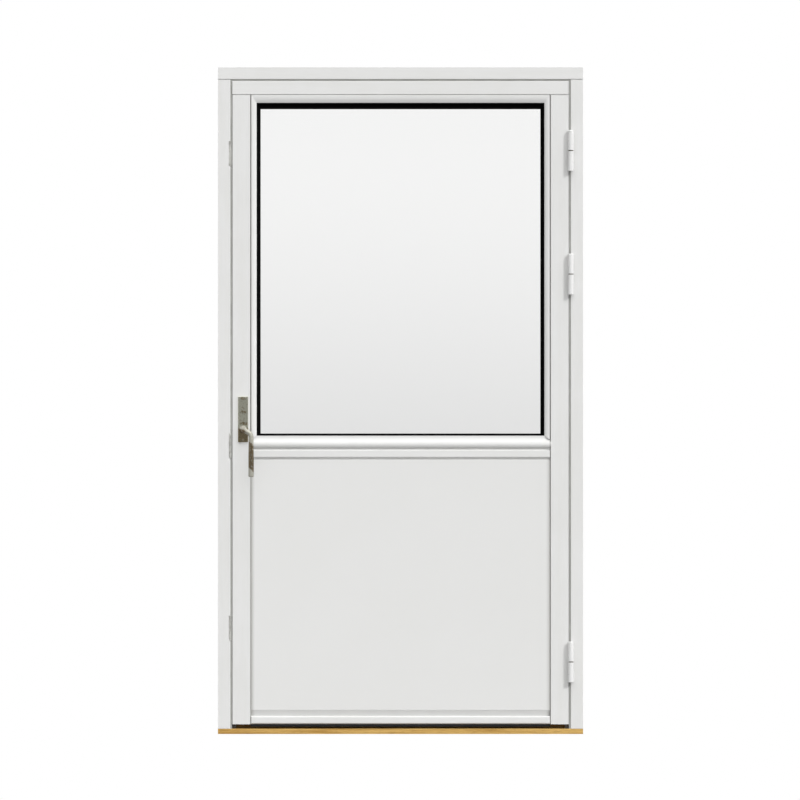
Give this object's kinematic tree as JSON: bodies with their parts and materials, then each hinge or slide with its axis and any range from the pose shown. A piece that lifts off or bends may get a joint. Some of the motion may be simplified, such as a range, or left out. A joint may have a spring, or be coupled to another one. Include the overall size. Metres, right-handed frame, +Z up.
{
  "type": "balcony door",
  "caption": "Inward-opening glazed balcony door in a white timber frame with an oak threshold, a large pane over a plain panel, lift-off hinges and a lever handle.",
  "frame": {"origin": "centre of the threshold's underside, midway through the depth of the frame", "axes": "+X to the right seen from the room, +Y from the room outwards, +Z up"},
  "size_m": [1.09, 0.159, 1.99],
  "materials": {
    "painted_timber": "white satin paint on softwood",
    "oak": "clear oiled oak",
    "seal_rubber": "black matte rubber",
    "strip_rubber": "pale grey soft rubber",
    "spacer_black": "black warm-edge spacer",
    "pane_glass": "clear float glass",
    "core_foam": "insulating board, hidden",
    "block_plastic": "hard plastic setting blocks",
    "zinc_steel": "zinc-plated steel",
    "painted_hinge": "white enamelled steel",
    "handle_nickel": "brushed matt nickel"
  },
  "bodies": {
    "frame": {"threshold": "oak", "hinge_jamb": "painted_timber", "lock_jamb": "painted_timber", "frame_head": "painted_timber", "frame_seal": "seal_rubber", "draught_strip": "strip_rubber", "upper_keep": "zinc_steel", "middle_keep": "zinc_steel", "lower_keep": "zinc_steel", "upper_hinge_pin_half": "painted_hinge", "middle_hinge_pin_half": "painted_hinge", "lower_hinge_pin_half": "painted_hinge"},
    "leaf": {"hinge_stile": "painted_timber", "lock_stile": "painted_timber", "top_rail": "painted_timber", "middle_rail": "painted_timber", "bottom_rail": "painted_timber", "inner_panel": "painted_timber", "outer_panel": "painted_timber", "panel_core": "core_foam", "bottom_strip": "painted_timber", "bottom_seal": "seal_rubber", "weather_bar": "painted_timber", "hinge_side_bead": "painted_timber", "lock_side_bead": "painted_timber", "top_bead": "painted_timber", "bottom_bead": "painted_timber", "inner_pane": "pane_glass", "outer_pane": "pane_glass", "spacer": "spacer_black", "bead_seal": "seal_rubber", "glazing_tape": "seal_rubber", "setting_blocks": "block_plastic", "upper_hinge_leaf_half": "painted_hinge", "middle_hinge_leaf_half": "painted_hinge", "lower_hinge_leaf_half": "painted_hinge", "lock_rail": "zinc_steel", "lock_case": "zinc_steel", "upper_hook_bolt": "zinc_steel", "middle_hook_bolt": "zinc_steel", "lower_hook_bolt": "zinc_steel", "handle_plate": "handle_nickel"},
    "handle": {"lever": "handle_nickel", "spindle": "handle_nickel"}
  },
  "joints": [
    {"name": "leaf_swing", "type": "hinge", "parent": "frame", "child": "leaf", "pos_m": [0.509, -0.063, 1], "axis": [0, 0, 1], "range_deg": [0, 170]},
    {"name": "handle_turn", "type": "hinge", "parent": "leaf", "child": "handle", "pos_m": [-0.47, -0.07, 0.909], "axis": [0, -1, 0], "range_deg": [0, 90]}
  ]
}
